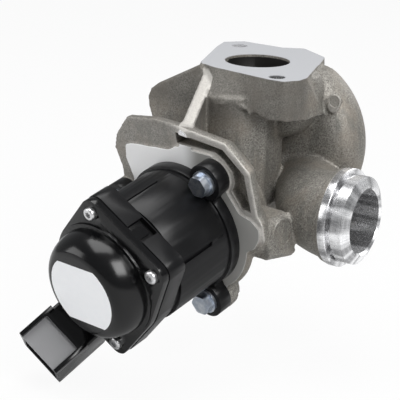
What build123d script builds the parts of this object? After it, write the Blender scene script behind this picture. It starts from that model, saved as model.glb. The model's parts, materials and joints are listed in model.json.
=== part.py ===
"""Electric exhaust-gas recirculation valve for a small diesel engine.

A cast aluminium housing takes hot gas in through a two-bolt flange on its top, leads it down a
column to a poppet valve, and sends it round a volute to a turned spigot on its right.  A torque
motor in a black plastic barrel turns a cam sleeve by a quarter turn, and the sleeve's two helical
slots push the valve stem off its seat.

Frame: millimetres, +Z up, +X out of the outlet spigot.  The origin is the centre of the inlet bore
on the machined face of the inlet flange.  The motor's pieces are drawn in the motor's own frame,
whose +Z runs out along the motor's axis from the seat on the casting, and are placed from there.
"""
from build123d import *
import math
import os

# --- gas inlet: flange on top of the casting -------------------------------------------------
inlet_r = 17.0                    # bore of the inlet
inlet_bolt_pcd = 80.0             # pitch circle of the two flange bolts
inlet_bolt_angle = -45.0          # direction of the first bolt from +X
inlet_bolt_r = 4.2                # clearance holes for M8
inlet_flange_t = 9.0              # thickness of the flange
inlet_lug_r = 9.0                 # metal round a bolt hole
skirt_depth = 17.0                # drafted metal under the flange
skirt_draft = 16.0                # draft angle of that metal, degrees

# --- gas column, valve chamber and outlet ------------------------------------------------------
wall = 5.0                        # usual wall of the casting
column_r = 14.0                   # bore of the column that leads down to the valve
column_outer_r = 21.0             # outside of the column
column_top = -34.0                # level where the slanting inlet becomes the column
chamber_y = -18.5                 # the motor's axis and the outlet's axis cross at this y
chamber_z = -67.8                 # and at this level
chamber_x = -2.0                  # and at this x
outlet_r = 16.3                   # bore of the outlet spigot
outlet_end = 76.8                 # x of the spigot's mouth
outlet_ring_r = 22.3              # front ring of the spigot, which carries the hose or pipe
outlet_land_r = 24.6              # rear ring of the spigot
outlet_groove_r = 20.4            # floor of the O-ring groove between the rings
outlet_cone_t = 2.5               # length of the cone on the spigot's mouth
outlet_ring_t = 6.3               # length of the front ring
outlet_groove_t = 3.8             # width of the O-ring groove
outlet_land_t = 7.4               # length of the rear ring
passage_r = 13.0                  # bore of the passage from the valve to the outlet
volute_r = 36.0                   # rounded volute behind the column
volute_t = 28.0                   # its thickness from front to back
volute_round = 12.5               # rounding of its rim

# --- motor axis and seat on the casting --------------------------------------------------------
motor_azimuth = 9.0               # turned from -Y towards -X, degrees
motor_tilt = 15.0                 # tipped down from level, degrees
motor_roll = -36.0                # turn of the cover's long side about the axis, degrees
seat_distance = 34.0              # from the crossing of the axes to the motor's seat
pocket_r = 24.0                   # round pocket in the casting under the motor
pocket_depth = 12.0
bulkhead_t = 12.0                 # wall between the pocket and the hot gas
chamber_r = 13.5                  # gas space in front of the valve seat
chamber_depth = 24.0
seat_ring_t = 4.0
seat_ring_r = 15.0
seat_bore_r = 11.0
rear_chamber_r = 15.0             # gas space behind the valve seat
rear_chamber_depth = 22.0
land_r = 38.2                     # machined land that the motor's flange seats on
plate_t = 12.0                    # cast plate round the land
plate_step = 1.0                  # as-cast rim below the machined land
rim_w = 3.6                       # width of the plate's rim rib
bead_w = 2.4                      # width of the cast bead round the land
pocket_floor = 7.0                # depth of the recess between rim and bead
shallow_floor = 3.2               # depth of the recess on the plate's left
boss_r = 9.6                      # screw bosses of the casting and lugs of the motor

# --- motor housing ----------------------------------------------------------------------------
bolt_circle_r = 41.0
bolt_angles = (53.0, -72.5, 170.5)
bolt_r = 3.0                      # M6
bolt_length = 22.0                # under the head
bolt_engagement_gap = 2.0         # drilled below the bolt's end
bolt_flange_r = 6.6
bolt_flange_t = 1.4
bolt_hex = 10.0                   # across flats
bolt_head_t = 5.6
limiter_wall = 1.5                # steel sleeve in each plastic lug
barrel_r = 32.7
barrel_wall = 3.2
motor_flange_r = 34.1
motor_flange_t = 6.0
lug_t = 8.0
barrel_length = 46.0              # from the seat to the square end plate
end_plate_t = 10.5                # square end of the motor housing
nose_depth = 5.0                  # spigot of the housing in the casting's pocket
nose_gap = 0.3
oring_r = 1.1                     # half the thickness of the motor's O-ring
panel_rise = 0.8                  # raised panel on the barrel
panel_angles = (46.0, 122.0)      # its two sides, from the cover's long direction
panel_start = 9.0
panel_end = 42.0
groove_w = 2.2                    # grooves along the panel's sides
groove_depth = 1.6
groove_start = 17.0

# --- cover, label and connector ---------------------------------------------------------------
cover_t = 4.5                     # flat flange of the cover
screw_x = 21.2                    # cover screws, across
screw_y = 30.5                    # and along
screw_corner_r = 7.0              # metal round a cover screw
plate_waist_r = 32.0              # waist of the end plates
screw_r = 1.6
screw_head_r = 3.4
screw_head_t = 2.5
screw_length = 9.0                # in the housing
dome_r = 28.4
dome_height = 16.1                # above the cover's flange
dome_flat_r = 20.4                # flat end that carries the label
dome_wall = 2.9
dome_ring_r = 30.6                # low step round the dome
dome_ring_t = 1.2
label_r = 20.0
label_chord = 15.9                # the label's two straight sides, from its centre
label_t = 0.2
seal_w = 1.5
seal_t = 1.2
plug_tilt = 25.0                  # the connector leans out from the motor's axis, degrees
plug_width = 27.6
plug_height = 21.6
plug_wall = 1.8
plug_depth = 15.0                 # depth of the socket
plug_rail_h = 2.4                 # two rails along the connector's back
plug_rail_w = 2.2
plug_back_y = -31.5               # near end of the connector's back, across the cover
plug_back_z = 77.3                # and along the motor's axis
plug_length = 17.6                # of the connector's back
clip_w = 10.6                     # window of the snap clip in the end plate
clip_depth = 3.0
clip_x = 1.8
tongue_w = 6.0
tongue_t = 1.6
pin_count = 5
pin_pitch = 4.0
pin_w = 1.5
pin_t = 0.8
pin_reach = 8.0                   # pins standing in the socket
pin_rise = 1.2                    # level of the pins over the circuit board
pin_foot_y = 20.0                 # where they come down on it

# --- valve drive ------------------------------------------------------------------------------
lift = 8.0                        # travel of the valve
cam_turn = 90.0                   # turn of the cam sleeve for the full lift
stem_r = 3.0
stem_top = 24.0                   # end of the stem inside the motor
bush_wall = 2.5
bush_length = 18.0
running_gap = 0.05                # radial clearance of shafts
head_r = 12.6                     # rim of the poppet
head_t = 3.0
head_cone_t = 1.6
cross_pin_z = 20.0                # level of the cross pin with the valve shut
cross_pin_r = 2.0
slot_gap = 0.15                   # play of the cross pin in its slots, each side
sleeve_bore_r = 8.8
sleeve_outer_r = 11.6
sleeve_start = 6.0
sleeve_end = 44.0
guide_gap = 0.4
guide_wall = 2.8
guide_base_t = 3.0
guide_end = 22.6
bearing_z = 24.0
bearing_t = 4.4
race_t = 1.8
ball_r = 1.5
ball_gap = 0.05
ball_count = 10
carrier_t = 5.4
magnet_t = 3.8
magnet_start = 30.0
magnet_end = 43.5
magnet_count = 4
air_gap = 0.6
stator_start = 29.6
stator_end = 44.0
coil_t = 4.2                      # windings at the sides of a pole
coil_end = 2.2                    # and at its ends
yoke_t = 4.0
pole_w = 11.0
shoe_t = 2.2                      # pole shoes
shoe_gap = 3.0
hub_r = 6.0
hub_end = 50.5
spring_h = 3.0
spring_t = 0.7
spring_pitch = 3.6
spring_half_turns = 7
post_r = 1.2
journal_bush_t = 2.0
spring_start_z = 46.4
bridge_z = 51.0
bridge_t = 3.2
journal_r = 4.0
journal_end = 56.0
sensor_magnet_r = 4.6
sensor_magnet_t = 2.4
board_t = 1.6
board_z = 60.8
board_r = 26.4
chip_t = 1.4


# --- frames -----------------------------------------------------------------------------------
azimuth, tilt = math.radians(motor_azimuth), math.radians(motor_tilt)
motor_axis = Vector(
    -math.sin(azimuth) * math.cos(tilt), -math.cos(azimuth) * math.cos(tilt), -math.sin(tilt)
)
level_axis = Vector(math.cos(azimuth), -math.sin(azimuth), 0)
crossing = Vector(chamber_x, chamber_y, chamber_z)
motor_seat = crossing + motor_axis * seat_distance
motor_frame = Plane(origin=motor_seat, x_dir=level_axis, z_dir=motor_axis).location
cover_turn = Location((0, 0, 0), (0, 0, motor_roll))

# levels along the motor's axis, measured out from the seat on the casting
bulkhead_z = -pocket_depth
chamber_top_z = bulkhead_z - bulkhead_t
seat_top_z = chamber_top_z - chamber_depth
seat_low_z = seat_top_z - seat_ring_t
rear_end_z = seat_low_z - rear_chamber_depth
cover_z = barrel_length + end_plate_t
cover_top_z = cover_z + cover_t
label_z = cover_top_z + dome_height


def on_motor(shape):
    """Place a shape drawn in the motor's frame."""
    return motor_frame * shape


def tube(outer, inner, low, high):
    """Round tube about the motor's axis between two levels."""
    ring = Circle(outer) - Circle(inner)
    return Pos(0, 0, low) * extrude(ring, amount=high - low)


def rod(radius, low, high, x=0.0, y=0.0):
    """Round bar parallel to the motor's axis between two levels."""
    return Pos(x, y, low) * extrude(Circle(radius), amount=high - low)


def bolt_places():
    """Centres of the motor's bolts, in the motor's frame."""
    turns = [math.radians(a) for a in bolt_angles]
    return [(bolt_circle_r * math.cos(t), bolt_circle_r * math.sin(t)) for t in turns]


def screw_places():
    """Centres of the cover screws, along and across the cover."""
    return [(sx * screw_x, sy * screw_y) for sx in (-1, 1) for sy in (-1, 1)]


def save(shape, node):
    """Write one node; a list of shapes becomes a group of separate solids."""
    solids = [s for item in (shape if isinstance(shape, list) else [shape]) for s in item.solids()]
    export_step(solids[0] if len(solids) == 1 else Compound(children=solids), f"parts/{node}.step")


# --- casting ------------------------------------------------------------------------------------
# Machined outline of the inlet flange, corner by corner from the front left.
flange_outline = [
    (-21, -22), (-11, -27), (27, -35), (35.5, -35), (40.5, -27.5), (40.5, -20),
    (23, 31), (3, 45), (-8, 39.5), (-33, 41), (-41, 32.5), (-37, 19),
]
# Cast plate behind the motor, in the motor's frame (along, up).
plate_outline = [
    (-44, 4), (-43.5, 22), (-46, 33), (-43, 41), (-33, 52.5), (-13, 55.5), (0, 55),
    (33, 51.5), (46.5, 38), (47.5, 14), (49.5, 8), (48, -8), (36, -18), (-30, -20),
]
# Machined land on it, outside the circle that the motor covers.
land_outline = [
    (-34, 17), (-37.4, 29), (-36, 36.5), (-31, 38), (-5, 40), (0, 43), (24.5, 43), (31.5, 35),
    (30, 25), (36, 13), (45, 10.5), (46.5, -4), (38, -11), (0, -15),
]
leaf_outline = [(-18, 0), (-44, -13.5), (-48.5, -17), (-50, -26), (-47, -34), (-30, -48), (-8, -50)]
leaf_y = -24.5
leaf_t = 5.0
gusset_t = 6.0
gusset_top = (-20.3, -23.5)       # where the gusset leaves the flange, in plan
side_boss = (39.0, 1.0)           # spare boss at the plate's right
side_boss_depth = 24.0
pad_box = (15.0, 19.0, 27.0)      # block with a cast pad beside the chamber
pad_centre = (38.0, -37.0, -77.5)
pad_round = 4.0


def flange_face():
    """Outline of the inlet flange with its corners eased."""
    face = make_face(Polyline(*flange_outline, close=True))
    return fillet(face.vertices(), 2.5)


def inlet_flange():
    """Flange plate and the drafted metal beneath it."""
    plate = extrude(flange_face(), amount=-inlet_flange_t)
    skirt = extrude(offset(flange_face(), -1.5), amount=-skirt_depth, taper=skirt_draft)
    return plate + skirt


def slanted(top_r, low_r, low_y):
    """Slanting round passage from under the flange to the top of the column."""
    top = Pos(0, 0, -inlet_flange_t) * Circle(top_r)
    low = Pos(0, low_y, column_top) * Circle(low_r)
    return loft([top, low])


def column(radius, centre_y, bottom):
    """Upright round column below the slanting inlet."""
    return Pos(0, centre_y, bottom) * extrude(Circle(radius), amount=column_top - bottom)


def outlet_path():
    """Line of the gas from behind the valve, round to the outlet spigot."""
    start = crossing - motor_axis * (-(seat_low_z) - seat_distance + passage_r)
    turn_x = 30.0
    straight_x = 49.0
    points = [
        start,
        Vector(turn_x, start.Y, start.Z - 1.5),
        Vector(straight_x, chamber_y, chamber_z),
        Vector(outlet_end - outlet_cone_t - outlet_ring_t, chamber_y, chamber_z),
    ]
    return FilletPolyline(*points, radius=25.0)


def along_outlet(radius):
    """Round bar along the gas path to the outlet."""
    path = outlet_path()
    return sweep(Plane(origin=path @ 0, z_dir=path % 0) * Circle(radius), path=path)


def outlet_spigot():
    """Turned end of the casting: rear ring, O-ring groove, front ring and cone."""
    cone_x = outlet_end - outlet_cone_t
    ring_x = cone_x - outlet_ring_t
    groove_x = ring_x - outlet_groove_t
    land_x = groove_x - outlet_land_t
    cone_start = 28.0
    profile = Polyline(
        (cone_start, 0), (cone_start, outlet_ring_r - 1.0), (land_x, outlet_land_r - 0.8),
        (land_x + 0.8, outlet_land_r), (groove_x - 0.6, outlet_land_r),
        (groove_x, outlet_land_r - 0.6), (groove_x, outlet_groove_r), (ring_x, outlet_groove_r),
        (ring_x, outlet_ring_r), (cone_x, outlet_ring_r), (outlet_end, outlet_r + 1.0),
        (outlet_end, 0), close=True,
    )
    turned = revolve(make_face(profile), axis=Axis.X, revolution_arc=360)
    return Pos(0, chamber_y, chamber_z) * turned


def volute():
    """Rounded drum behind the column that turns the gas towards the outlet."""
    drum = Cylinder(volute_r, volute_t, rotation=(90, 0, 0))
    drum = fillet(drum.edges().filter_by(GeomType.CIRCLE), volute_round)
    return Pos(18, 13, -38.5) * drum


def leaf():
    """Flat cast web at the left, from the flange's corner down behind the motor plate."""
    face = Plane.XZ * make_face(Polyline(*leaf_outline, close=True))
    face = fillet(face.vertices().group_by(Axis.X)[0] + face.vertices().group_by(Axis.X)[1], 5.0)
    return Pos(0, leaf_y, 0) * extrude(face, amount=leaf_t / 2, both=True)


def gusset():
    """Upright web from the flange's corner forward to the top of the motor plate."""
    low = (motor_frame * Pos(-1.5, 52.0, -plate_step)).position
    run = math.dist(gusset_top, (low.X, low.Y))
    face = make_face(Polyline(
        (-6, -1), (0, -1), (run + 1, low.Z), (run + 1, low.Z - 30), (14, -62), (-6, -62), close=True
    ))
    heading = Vector(low.X - gusset_top[0], low.Y - gusset_top[1], 0)
    stand = Plane(origin=(*gusset_top, 0), x_dir=heading, z_dir=heading.cross(Vector(0, 0, 1)))
    web = stand.location * extrude(face, amount=gusset_t / 2, both=True)
    return web & on_motor(rod(90, -90, -plate_step - 2))


def outlines():
    """Plate, land and recess outlines of the motor's seat, in the motor's frame."""
    plate = fillet(make_face(Polyline(*plate_outline, close=True)).vertices(), 2.0)
    land = fillet(make_face(Polyline(*land_outline, close=True)).vertices(), 2.0)
    plate += Circle(land_r + 1.5)
    land += Circle(land_r)
    for x, y in bolt_places():
        plate += Pos(x, y) * Circle(boss_r)
        land += Pos(x, y) * Circle(boss_r - 1.0)
    return plate, land


def motor_plate():
    """Cast plate with a machined land, a bead round it and a rim rib with recesses between."""
    plate, land = outlines()
    slab = extrude(plate, amount=-plate_t)
    slab = Pos(0, 0, -plate_step) * slab
    slab += extrude(land, amount=-plate_t)
    inside = make_face(Polyline(*plate_outline, close=True))
    inside = offset(inside, -rim_w, kind=Kind.INTERSECTION)
    recess = inside - offset(land, bead_w)
    right = recess & Pos(30, 30) * Rectangle(59, 60)
    left = recess & Pos(-34, 30) * Rectangle(59, 60)
    slab -= Pos(0, 0, -pocket_floor) * extrude(right, amount=pocket_floor)
    slab -= Pos(0, 0, -shallow_floor) * extrude(left, amount=shallow_floor)
    return slab


def casting():
    """Aluminium housing: everything that the gas flows through, in one casting."""
    body = inlet_flange()
    body += slanted(inlet_r + wall, column_outer_r, chamber_y)
    body += column(column_outer_r, chamber_y, chamber_z - 2)
    body += volute() + leaf() + gusset()
    body += along_outlet(passage_r + wall)
    body += outlet_spigot()
    shell = rod(rear_chamber_r + wall, rear_end_z - wall, chamber_top_z)
    shell = fillet(shell.edges().group_by(Axis.Z)[0], 4.0)
    body += on_motor(shell)
    housing_wall = 7.0
    body += on_motor(rod(pocket_r + housing_wall, chamber_top_z - 4, -plate_t / 2))
    body += on_motor(motor_plate())
    for x, y in bolt_places():
        body += on_motor(rod(boss_r, -bolt_length + lug_t - 5, -plate_step, x, y))
    body += on_motor(rod(boss_r, -side_boss_depth, -plate_step, *side_boss))
    pad = Box(*pad_box)
    pad = fillet(pad.edges(), pad_round)
    body += Pos(*pad_centre) * pad
    body -= gas_ways()
    return body


def gas_ways():
    """Everything cut out of the casting."""
    cut = Pos(0, 0, -inlet_flange_t - 0.01) * extrude(Circle(inlet_r), amount=inlet_flange_t + 1)
    bore_y = chamber_y - 2.5
    cut += slanted(inlet_r, column_r, bore_y)
    cut += column(column_r, bore_y, chamber_z)
    cut += along_outlet(passage_r)
    spigot_bore = Cylinder(outlet_r, 30, rotation=(0, 90, 0))
    cut += Pos(outlet_end + 1 - 15, chamber_y, chamber_z) * spigot_bore
    for side in (0, 180):
        turn = math.radians(inlet_bolt_angle + side)
        x, y = inlet_bolt_pcd / 2 * math.cos(turn), inlet_bolt_pcd / 2 * math.sin(turn)
        cut += Pos(x, y, -inlet_flange_t - skirt_depth) * extrude(
            Circle(inlet_bolt_r), amount=inlet_flange_t + skirt_depth + 1
        )
        cut += Pos(x, y, -inlet_flange_t - 40) * extrude(Circle(inlet_lug_r), amount=40)
    bores = rod(pocket_r, bulkhead_z, 1)
    bores += rod(stem_r + bush_wall, chamber_top_z - 1, bulkhead_z + 1)
    bores += rod(chamber_r, seat_top_z, chamber_top_z)
    bores += rod(seat_ring_r, seat_low_z, seat_top_z)
    bores += rod(rear_chamber_r, rear_end_z, seat_low_z)
    for x, y in bolt_places():
        bores += rod(bolt_r + running_gap, lug_t - bolt_length - bolt_engagement_gap, 1, x, y)
    return cut + on_motor(bores)


def seat_ring():
    """Hardened ring pressed into the casting, with a cone for the poppet."""
    ring = tube(seat_ring_r, seat_bore_r, seat_low_z, seat_top_z)
    cone = Cone(head_r, seat_bore_r, head_cone_t, align=(Align.CENTER, Align.CENTER, Align.MIN))
    return ring - Pos(0, 0, seat_low_z) * cone


def stem_bush():
    """Sintered bush in the bulkhead that guides the valve stem."""
    top = bulkhead_z + 1.0
    return tube(stem_r + bush_wall, stem_r + running_gap, top - bush_length, top)


def stem_seal():
    """Lip seal on the stem, standing on the bush inside the guide's base."""
    low = bulkhead_z + 1.0
    return tube(stem_r + bush_wall, stem_r + running_gap, low, low + 1.8)


# --- valve ---------------------------------------------------------------------------------------
def valve():
    """Poppet on its stem, with the cross hole for the pin."""
    cone = Cone(head_r, seat_bore_r - 0.3, head_cone_t, align=(Align.CENTER, Align.CENTER, Align.MIN))
    head = Pos(0, 0, seat_low_z - running_gap) * cone
    head += rod(head_r, seat_low_z - running_gap - head_t, seat_low_z - running_gap)
    neck = Cone(7.0, stem_r, 7.0, align=(Align.CENTER, Align.CENTER, Align.MIN))
    head += Pos(0, 0, seat_low_z + head_cone_t - running_gap) * neck
    stem = rod(stem_r, seat_low_z - head_t, stem_top)
    stem = stem.chamfer(0.6, None, stem.edges().group_by(Axis.Z)[-1])
    hole = Cylinder(cross_pin_r, 3 * stem_r, rotation=(0, 90, 0))
    return head + stem - Pos(0, 0, cross_pin_z) * hole


def cross_pin():
    """Hardened pin through the stem; its ends run in the cam sleeve and the fixed guide."""
    guide_r = sleeve_outer_r + guide_gap + guide_wall
    pin = Cylinder(cross_pin_r, 2 * (guide_r - 0.6), rotation=(0, 90, 0))
    return Pos(0, 0, cross_pin_z) * pin.chamfer(0.4, None, pin.edges().filter_by(GeomType.CIRCLE))


# --- cam and rotor -------------------------------------------------------------------------------
def cam_slots():
    """Two helical slots: a quarter turn lowers the cross pin by the valve's lift."""
    half = cross_pin_r + slot_gap
    middle = (sleeve_bore_r + sleeve_outer_r) / 2
    path = Helix(lift * 360 / cam_turn, lift, middle)
    start = Plane(origin=path @ 0, x_dir=(1, 0, 0), z_dir=path % 0)
    wall_cut = sleeve_outer_r - sleeve_bore_r + 1.2
    groove = sweep(start * Rectangle(wall_cut, 2 * half), path=path, is_frenet=True)
    end = Pos(middle, 0, 0) * Cylinder(half, wall_cut, rotation=(0, 90, 0))
    groove += end
    groove += Rot(0, 0, cam_turn) * Pos(0, 0, lift) * end
    low = Pos(0, 0, cross_pin_z - lift)
    return [low * Rot(0, 0, side - cam_turn) * groove for side in (0, 180)]


def cam_sleeve():
    """Rotor tube whose helical slots carry the cross pin."""
    sleeve = tube(sleeve_outer_r, sleeve_bore_r, sleeve_start, sleeve_end)
    for slot in cam_slots():
        sleeve -= slot
    return sleeve


def rotor_hub():
    """Closed end of the rotor with the journal that carries the sensor magnet."""
    hub = rod(sleeve_outer_r, sleeve_end, sleeve_end + 2)
    hub += rod(hub_r, sleeve_end + 2, hub_end)
    hub += rod(journal_r, hub_end, journal_end)
    return hub + rod(sleeve_bore_r, sleeve_end - 3, sleeve_end)


def rotor_magnets():
    """Arc magnets bonded round the rotor tube."""
    arc = 360 / magnet_count - 8
    ring = tube(sleeve_outer_r + magnet_t, sleeve_outer_r, magnet_start, magnet_end)
    spread = 40.0
    magnets = []
    for turn in range(magnet_count):
        low = math.radians(turn * 360 / magnet_count - arc / 2)
        high = math.radians(turn * 360 / magnet_count + arc / 2)
        corner_low = (spread * math.cos(low), spread * math.sin(low))
        corner_high = (spread * math.cos(high), spread * math.sin(high))
        wedge = make_face(Polyline((0, 0), corner_low, corner_high, close=True))
        magnets.append(ring & extrude(wedge, amount=magnet_end))
    return magnets


def sensor_magnet():
    """Disc magnet on the journal's end, read by the position sensor."""
    return rod(sensor_magnet_r, journal_end, journal_end + sensor_magnet_t)


def bearing():
    """Ball bearing between the rotor tube and its carrier: inner race, balls in cage, outer race."""
    top = bearing_z + bearing_t
    inner = tube(sleeve_outer_r + race_t, sleeve_outer_r, bearing_z, top)
    ball_circle = sleeve_outer_r + race_t + ball_r + ball_gap
    outer_bore = ball_circle + ball_r + ball_gap
    outer = tube(outer_bore + race_t, outer_bore, bearing_z, top)
    middle = (bearing_z + top) / 2
    balls = tube(ball_circle + 0.7, ball_circle - 0.7, middle - 0.6, middle + 0.6)
    for turn in range(ball_count):
        balls += Rot(0, 0, turn * 360 / ball_count) * Pos(ball_circle, 0, middle) * Sphere(ball_r)
    return inner, balls, outer, outer_bore + race_t


# --- motor housing -------------------------------------------------------------------------------
def waisted(inset=0.0):
    """Outline of the square ends: four screw corners joined by flats to a round waist."""
    edges = Circle(plate_waist_r - inset).edges()
    for x, y in screw_places():
        edges += (Pos(x, y) * Circle(screw_corner_r - inset)).edges()
    return make_hull(edges)


def lugs():
    """Round lugs of the motor's flange with the metal that ties them to the barrel."""
    group = None
    for (x, y), angle in zip(bolt_places(), bolt_angles):
        lug = rod(boss_r - 0.2, 0, lug_t, x, y)
        tie = Box(bolt_circle_r - 26, 2 * boss_r - 3, lug_t - 2,
                  align=(Align.MIN, Align.CENTER, Align.MIN))
        lug += Rot(0, 0, angle) * Pos(26, 0, 0) * tie
        group = lug if group is None else group + lug
    return group


def barrel_panel():
    """Raised panel on the barrel and the two grooves along its sides."""
    low, high = [math.radians(a) for a in panel_angles]
    reach = 60.0
    wedge = make_face(Polyline(
        (0, 0), (reach * math.cos(low), reach * math.sin(low)), (0, reach * 1.2),
        (reach * math.cos(high), reach * math.sin(high)), close=True
    ))
    panel = tube(barrel_r + panel_rise, barrel_r - 1, panel_start, panel_end)
    panel = panel & extrude(wedge, amount=panel_end)
    grooves = []
    for angle in panel_angles:
        slot = Box(2 * groove_depth, groove_w, panel_end - groove_start,
                   align=(Align.CENTER, Align.CENTER, Align.MIN))
        grooves.append(Rot(0, 0, angle) * Pos(barrel_r, 0, groove_start) * slot)
    return cover_turn * panel, [cover_turn * g for g in grooves]


def motor_housing():
    """Moulded barrel with its mounting flange, lugs, nose and square end."""
    body = rod(motor_flange_r, 0, motor_flange_t) + rod(barrel_r, 0, barrel_length) + lugs()
    body += rod(pocket_r - nose_gap, -nose_depth, 0)
    panel, grooves = barrel_panel()
    body += panel
    end = Pos(0, 0, barrel_length) * extrude(waisted(), amount=end_plate_t)
    body += cover_turn * end
    for groove in grooves:
        body -= groove
    crescent = tube(barrel_r + 4, barrel_r - 1.4, panel_end, barrel_length)
    body -= crescent
    body -= tube(pocket_r + 1, pocket_r - 2 * oring_r - 0.1, -nose_depth + 1.2, -nose_depth + 3.6)
    body -= rod(guide_bore(), -nose_depth - 1, motor_flange_t)
    body -= rod(barrel_r - barrel_wall, motor_flange_t - 1, cover_z + 1)
    for x, y in bolt_places():
        body -= rod(bolt_r + 0.3 + limiter_wall, -1, lug_t + 1, x, y)
        body -= rod(bolt_flange_r + 0.4, lug_t, lug_t + 12, x, y)
    for x, y in screw_places():
        body -= cover_turn * rod(screw_r, cover_z - screw_length, cover_z + 1, x, y)
    body -= cover_turn * seal_groove()
    body -= cover_turn * clip_window()
    return body


def guide_bore():
    """Bore of the housing's nose round the fixed guide."""
    return sleeve_outer_r + guide_gap + guide_wall + 0.1


def seal_groove():
    """Rebate for the cover's rubber seal in the end of the housing."""
    inner = barrel_r - barrel_wall
    return tube(inner + seal_w, inner - 1, cover_z - seal_t, cover_z + 1)


def clip_window():
    """Window in the side of the square end where the cover's tongue snaps in."""
    side = screw_y + screw_corner_r
    sill = 0.6
    upright = (Align.CENTER, Align.CENTER, Align.MIN)
    window = Box(clip_w, 2 * clip_depth, end_plate_t - sill, align=upright)
    return Pos(clip_x, side, barrel_length + sill) * window


def limiters():
    """Steel sleeves that carry the bolts' clamping load through the plastic lugs."""
    return [
        Pos(x, y, 0) * tube(bolt_r + 0.3 + limiter_wall, bolt_r + 0.3, 0, lug_t)
        for x, y in bolt_places()
    ]


def motor_bolts():
    """Flange-head screws that hold the motor to the casting."""
    bolts = []
    for x, y in bolt_places():
        bolt = rod(bolt_r, lug_t - bolt_length, lug_t)
        bolt += rod(bolt_flange_r, lug_t, lug_t + bolt_flange_t)
        head = RegularPolygon(bolt_hex / 2, 6, major_radius=False)
        hexagon = Pos(0, 0, lug_t) * extrude(head, amount=bolt_head_t)
        bolt += hexagon & rod(bolt_hex / math.sqrt(3) - 0.3, lug_t, lug_t + bolt_head_t)
        bolts.append(Pos(x, y, 0) * bolt)
    return bolts


def motor_oring():
    """Rubber O-ring round the housing's nose."""
    centre_r = pocket_r - oring_r - 0.04
    ring = Torus(centre_r, oring_r)
    return Pos(0, 0, -nose_depth + 2.4) * ring


def fixed_guide():
    """Guide fixed in the pocket; its two straight slots keep the cross pin from turning."""
    inner = sleeve_outer_r + guide_gap
    base_top = bulkhead_z + guide_base_t
    guide = tube(pocket_r - 0.3, stem_r + bush_wall + 0.1, bulkhead_z, base_top)
    guide += tube(inner + guide_wall, inner, base_top, guide_end)
    width = 2 * (cross_pin_r + slot_gap)
    low = cross_pin_z - lift - cross_pin_r - 0.4
    slot = Box(4 * inner, width, guide_end - low + 1, align=(Align.CENTER, Align.CENTER, Align.MIN))
    return guide - Pos(0, 0, low) * slot


def bearing_carrier():
    """Aluminium disc across the barrel that carries the bearing and the stator."""
    bore = bearing()[3]
    low = bearing_z - (carrier_t - bearing_t)
    disc = tube(barrel_r - barrel_wall, bore, low, bearing_z + bearing_t)
    return disc + tube(bore, sleeve_outer_r + race_t + 1, low, bearing_z)


def stator():
    """Laminated ring with four pole pieces, and the coils wound round them."""
    outer = barrel_r - barrel_wall
    inner = sleeve_outer_r + magnet_t + air_gap
    low, high = stator_start + coil_end, stator_end - coil_end
    core = tube(outer, outer - yoke_t, low, high)
    gaps = Box(60, shoe_gap, 200) + Box(shoe_gap, 60, 200)
    core += tube(inner + shoe_t, inner, low, high) - gaps
    outward = (Align.MIN, Align.CENTER, Align.MIN)
    reach = outer - yoke_t - inner - shoe_t
    coils = []
    for turn in range(magnet_count):
        spin = Rot(0, 0, 45 + turn * 90)
        pole = Box(reach + 3, pole_w, high - low, align=outward)
        core += spin * Pos(inner + shoe_t - 1.5, 0, low) * pole
        wound = Box(reach - 0.4, pole_w + 2 * coil_t, stator_end - stator_start, align=outward)
        inside = Box(reach + 2, pole_w, high - low, align=outward)
        coil = Pos(inner + shoe_t + 0.2, 0, stator_start) * wound
        coil -= Pos(inner + shoe_t - 0.8, 0, low) * inside
        coils.append(spin * (coil & rod(outer - yoke_t - 0.3, stator_start, stator_end)))
    return core, coils


def spring_radius(half_turn):
    """Radius of the spiral spring's strip at a half turn."""
    return hub_r + 0.3 + spring_t / 2 + spring_pitch * half_turn / 2


def return_spring():
    """Flat spiral spring round the rotor's hub that turns the valve shut, in half circles."""
    strip = None
    for half_turn in range(spring_half_turns):
        radius = spring_radius(half_turn)
        lower = half_turn % 2
        ring = Circle(radius + spring_t / 2) - Circle(radius - spring_t / 2)
        side = Pos(0, -40 if lower else 40) * Rectangle(80, 80)
        arc = Pos(spring_pitch / 2 * lower, 0) * (ring & side)
        strip = arc if strip is None else strip + arc
    return Pos(0, 0, spring_start_z) * extrude(strip, amount=spring_h)


def bridge():
    """Moulded disc under the cover that holds the journal's bush and the spring's post."""
    disc = tube(barrel_r - barrel_wall, journal_r + journal_bush_t, bridge_z, bridge_z + bridge_t)
    place = spring_radius(spring_half_turns - 1) + spring_t / 2 + post_r
    return disc + rod(post_r, spring_start_z, bridge_z, -place, 0)


def journal_bush():
    """Sintered bush of the rotor's journal."""
    return tube(journal_r + journal_bush_t, journal_r + running_gap, bridge_z, bridge_z + bridge_t)


# --- cover ---------------------------------------------------------------------------------------
def dome(inset=0.0):
    """Domed cap: straight foot, elliptical shoulder and a flat end."""
    foot = cover_top_z - 0.01
    shoulder = 2.0
    top = label_z - label_t - inset
    rim = dome_r - inset
    flat = dome_flat_r - inset * 0.6
    rise = top - foot - shoulder
    curve = Bezier(
        (rim, foot + shoulder), (rim, foot + shoulder + 0.56 * rise), (flat + 0.50 * (rim - flat), top),
        (flat, top)
    )
    side = Line((rim, foot), (rim, foot + shoulder))
    lid = Polyline((flat, top), (0, top), (0, foot), (rim, foot))
    return revolve(Plane.XZ * make_face(side + curve + lid), axis=Axis.Z)


def plug_frame():
    """Frame of the connector: origin at the mouth's back edge, +Z out of the mouth."""
    lean = math.radians(plug_tilt)
    out = Vector(0, -math.sin(lean), math.cos(lean))
    near = Vector(0, plug_back_y, plug_back_z)
    mouth = near + out * plug_length
    return Plane(origin=mouth, x_dir=Vector(1, 0, 0), z_dir=out).location


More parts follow.
